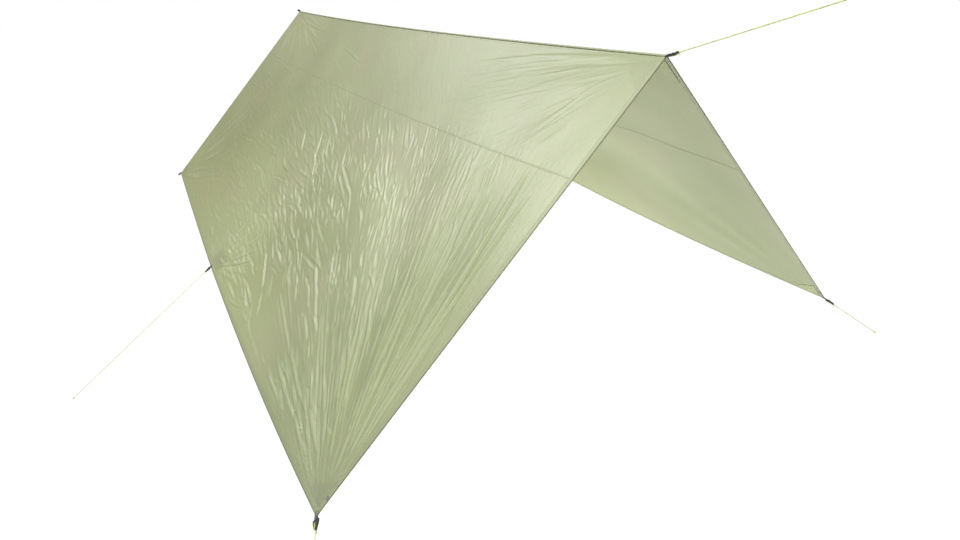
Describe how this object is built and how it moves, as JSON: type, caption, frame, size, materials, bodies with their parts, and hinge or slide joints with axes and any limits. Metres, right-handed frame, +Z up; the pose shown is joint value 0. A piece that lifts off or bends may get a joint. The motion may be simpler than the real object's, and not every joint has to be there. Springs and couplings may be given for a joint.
{
  "type": "camping tarp",
  "caption": "Rectangular camping tarp pitched as an A-frame: two nylon slopes on a ridge seam, hems, webbing tie-outs, line adjusters and guy lines.",
  "frame": {"origin": "front end of the ridge seam, on its axis, where the front ridge tie-out holds the tarp up", "axes": "+Y along the ridge from front to back, +X across towards the slope seen from inside, +Z up"},
  "size_m": [2.6392, 3.5355, 1.524],
  "materials": {
    "cloth": "thin coated ripstop nylon, soft sheen",
    "seam": "folded and stitched nylon",
    "hem": "rolled and stitched nylon",
    "patch": "second layer of nylon",
    "webbing": "matt woven webbing",
    "adjuster": "moulded, satin",
    "cord": "braided reflective line"
  },
  "bodies": {
    "ridge": {"ridge_seam": "seam", "ridge_front_webbing": "webbing", "ridge_back_webbing": "webbing"},
    "left_slope": {"left_upper_panel": "cloth", "left_seam": "seam", "left_lower_panel": "cloth", "left_foot_hem": "hem", "left_front_hem": "hem", "left_back_hem": "hem", "left_front_corner_patch": "patch", "left_back_corner_patch": "patch", "left_mid_patch": "patch", "left_front_ridge_patch": "patch", "left_back_ridge_patch": "patch", "left_front_webbing": "webbing", "left_mid_webbing": "webbing", "left_back_webbing": "webbing"},
    "right_slope": {"right_upper_panel": "cloth", "right_seam": "seam", "right_lower_panel": "cloth", "right_foot_hem": "hem", "right_front_hem": "hem", "right_back_hem": "hem", "right_front_corner_patch": "patch", "right_back_corner_patch": "patch", "right_mid_patch": "patch", "right_front_ridge_patch": "patch", "right_back_ridge_patch": "patch", "right_front_webbing": "webbing", "right_mid_webbing": "webbing", "right_back_webbing": "webbing"},
    "ridge_front_line": {"ridge_front_adjuster": "adjuster", "ridge_front_cord": "cord", "ridge_front_cord_knot": "cord", "ridge_front_cord_loop": "cord"},
    "ridge_back_line": {"ridge_back_adjuster": "adjuster"},
    "left_front_line": {"left_front_adjuster": "adjuster", "left_front_cord": "cord", "left_front_cord_knot": "cord", "left_front_cord_loop": "cord"},
    "left_mid_line": {"left_mid_adjuster": "adjuster", "left_mid_cord": "cord", "left_mid_cord_knot": "cord"},
    "left_back_line": {"left_back_adjuster": "adjuster"},
    "right_front_line": {"right_front_adjuster": "adjuster", "right_front_cord": "cord", "right_front_cord_knot": "cord"},
    "right_mid_line": {"right_mid_adjuster": "adjuster"},
    "right_back_line": {"right_back_adjuster": "adjuster"}
  },
  "joints": [
    {"name": "left_slope_fold", "type": "hinge", "parent": "ridge", "child": "left_slope", "pos_m": [0, 1.525, 0], "axis": [0, 1, 0], "range_deg": [-30, 44.3]},
    {"name": "right_slope_fold", "type": "hinge", "parent": "ridge", "child": "right_slope", "pos_m": [0, 1.525, 0], "axis": [0, -1, 0], "range_deg": [-30, 44.3]},
    {"name": "ridge_front_line_swing", "type": "hinge", "parent": "ridge", "child": "ridge_front_line", "pos_m": [0, -0.00806, 0.00268], "axis": [1, 0, 0], "range_deg": [-60, 60]},
    {"name": "ridge_back_line_swing", "type": "hinge", "parent": "ridge", "child": "ridge_back_line", "pos_m": [0, 3.05807, 0.00268], "axis": [-1, 0, 0], "range_deg": [-60, 60]},
    {"name": "left_front_line_swing", "type": "hinge", "parent": "left_slope", "child": "left_front_line", "pos_m": [-0.92978, -0.00788, -0.90564], "axis": [0.6327, -0.3429, 0.6943], "range_deg": [-60, 60]},
    {"name": "left_mid_line_swing", "type": "hinge", "parent": "left_slope", "child": "left_mid_line", "pos_m": [-0.95889, 1.525, -0.92369], "axis": [0, -1, 0], "range_deg": [-60, 60]},
    {"name": "left_back_line_swing", "type": "hinge", "parent": "left_slope", "child": "left_back_line", "pos_m": [-0.93121, 3.05622, -0.90824], "axis": [-0.4985, -0.6797, -0.538], "range_deg": [-60, 60]},
    {"name": "right_front_line_swing", "type": "hinge", "parent": "right_slope", "child": "right_front_line", "pos_m": [0.93104, -0.00607, -0.90864], "axis": [0.5121, 0.6997, -0.4982], "range_deg": [-60, 60]},
    {"name": "right_mid_line_swing", "type": "hinge", "parent": "right_slope", "child": "right_mid_line", "pos_m": [0.95727, 1.525, -0.86946], "axis": [0, 1, 0], "range_deg": [-60, 60]},
    {"name": "right_back_line_swing", "type": "hinge", "parent": "right_slope", "child": "right_back_line", "pos_m": [0.93104, 3.05607, -0.90864], "axis": [-0.512, 0.6997, 0.4982], "range_deg": [-60, 60]}
  ]
}
